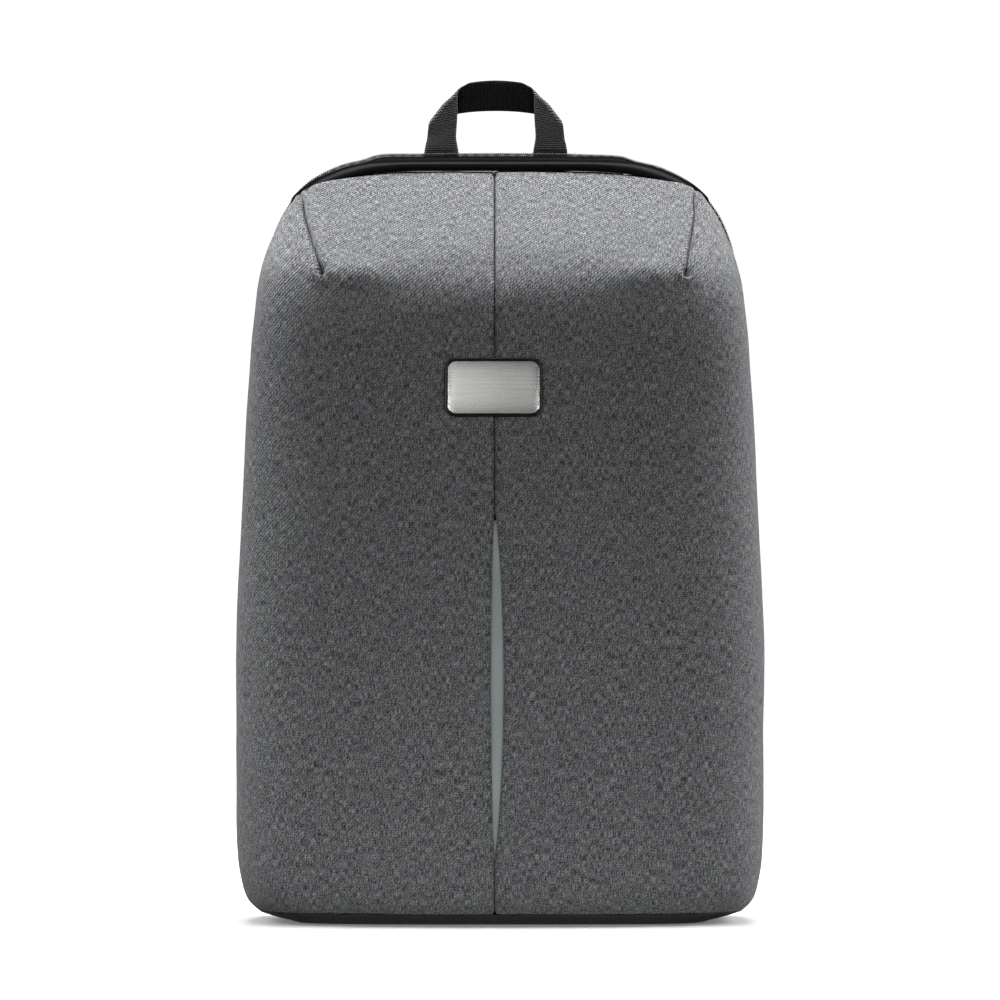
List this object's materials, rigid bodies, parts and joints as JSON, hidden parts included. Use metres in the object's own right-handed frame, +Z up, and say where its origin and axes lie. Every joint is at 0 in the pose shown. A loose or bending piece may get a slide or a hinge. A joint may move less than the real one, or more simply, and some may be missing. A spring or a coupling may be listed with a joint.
{
  "type": "anti theft backpack",
  "caption": "Grey melange anti theft backpack with a leaning top panel, a black zip band, a folded webbing grab handle, a blank metal plate and a reflective slit in the centre seam.",
  "frame": {"origin": "on the flat base, below the middle of the bag's body, in the plane of symmetry of its outline", "axes": "+Z up, the front panel with the plate faces -Y, the back panel and shoulder straps are on +Y, +X is on the right when seen from the front"},
  "size_m": [0.3002, 0.1846, 0.4806],
  "materials": {
    "melange_cloth": "woven grey melange polyester",
    "black_cloth": "matt black woven polyester",
    "black_webbing": "ribbed black webbing",
    "zip_nylon": "black nylon coil on woven tape",
    "coated_black": "black coated cloth, slightly glossy",
    "plate_steel": "brushed along its length",
    "rim_black": "smooth black",
    "reflective_tape": "grey retroreflective tape",
    "moulded_black": "moulded black nylon"
  },
  "bodies": {
    "root": {"back_panel": "black_cloth", "base_panel": "black_cloth", "front_panel_left": "melange_cloth", "front_panel_right": "melange_cloth", "grab_handle": "black_webbing", "metal_plate": "plate_steel", "plate_rim": "rim_black", "rear_gusset": "melange_cloth", "reflective_strip": "reflective_tape", "shoulder_pad_left": "black_cloth", "shoulder_pad_right": "black_cloth", "slider_pull": "moulded_black", "strap_adjuster_left": "moulded_black", "strap_adjuster_right": "moulded_black", "strap_tab_left": "black_webbing", "strap_tab_right": "black_webbing", "strap_webbing_left": "black_webbing", "strap_webbing_right": "black_webbing", "top_band": "coated_black", "zip_band": "zip_nylon", "zip_slider": "moulded_black"}
  },
  "joints": []
}
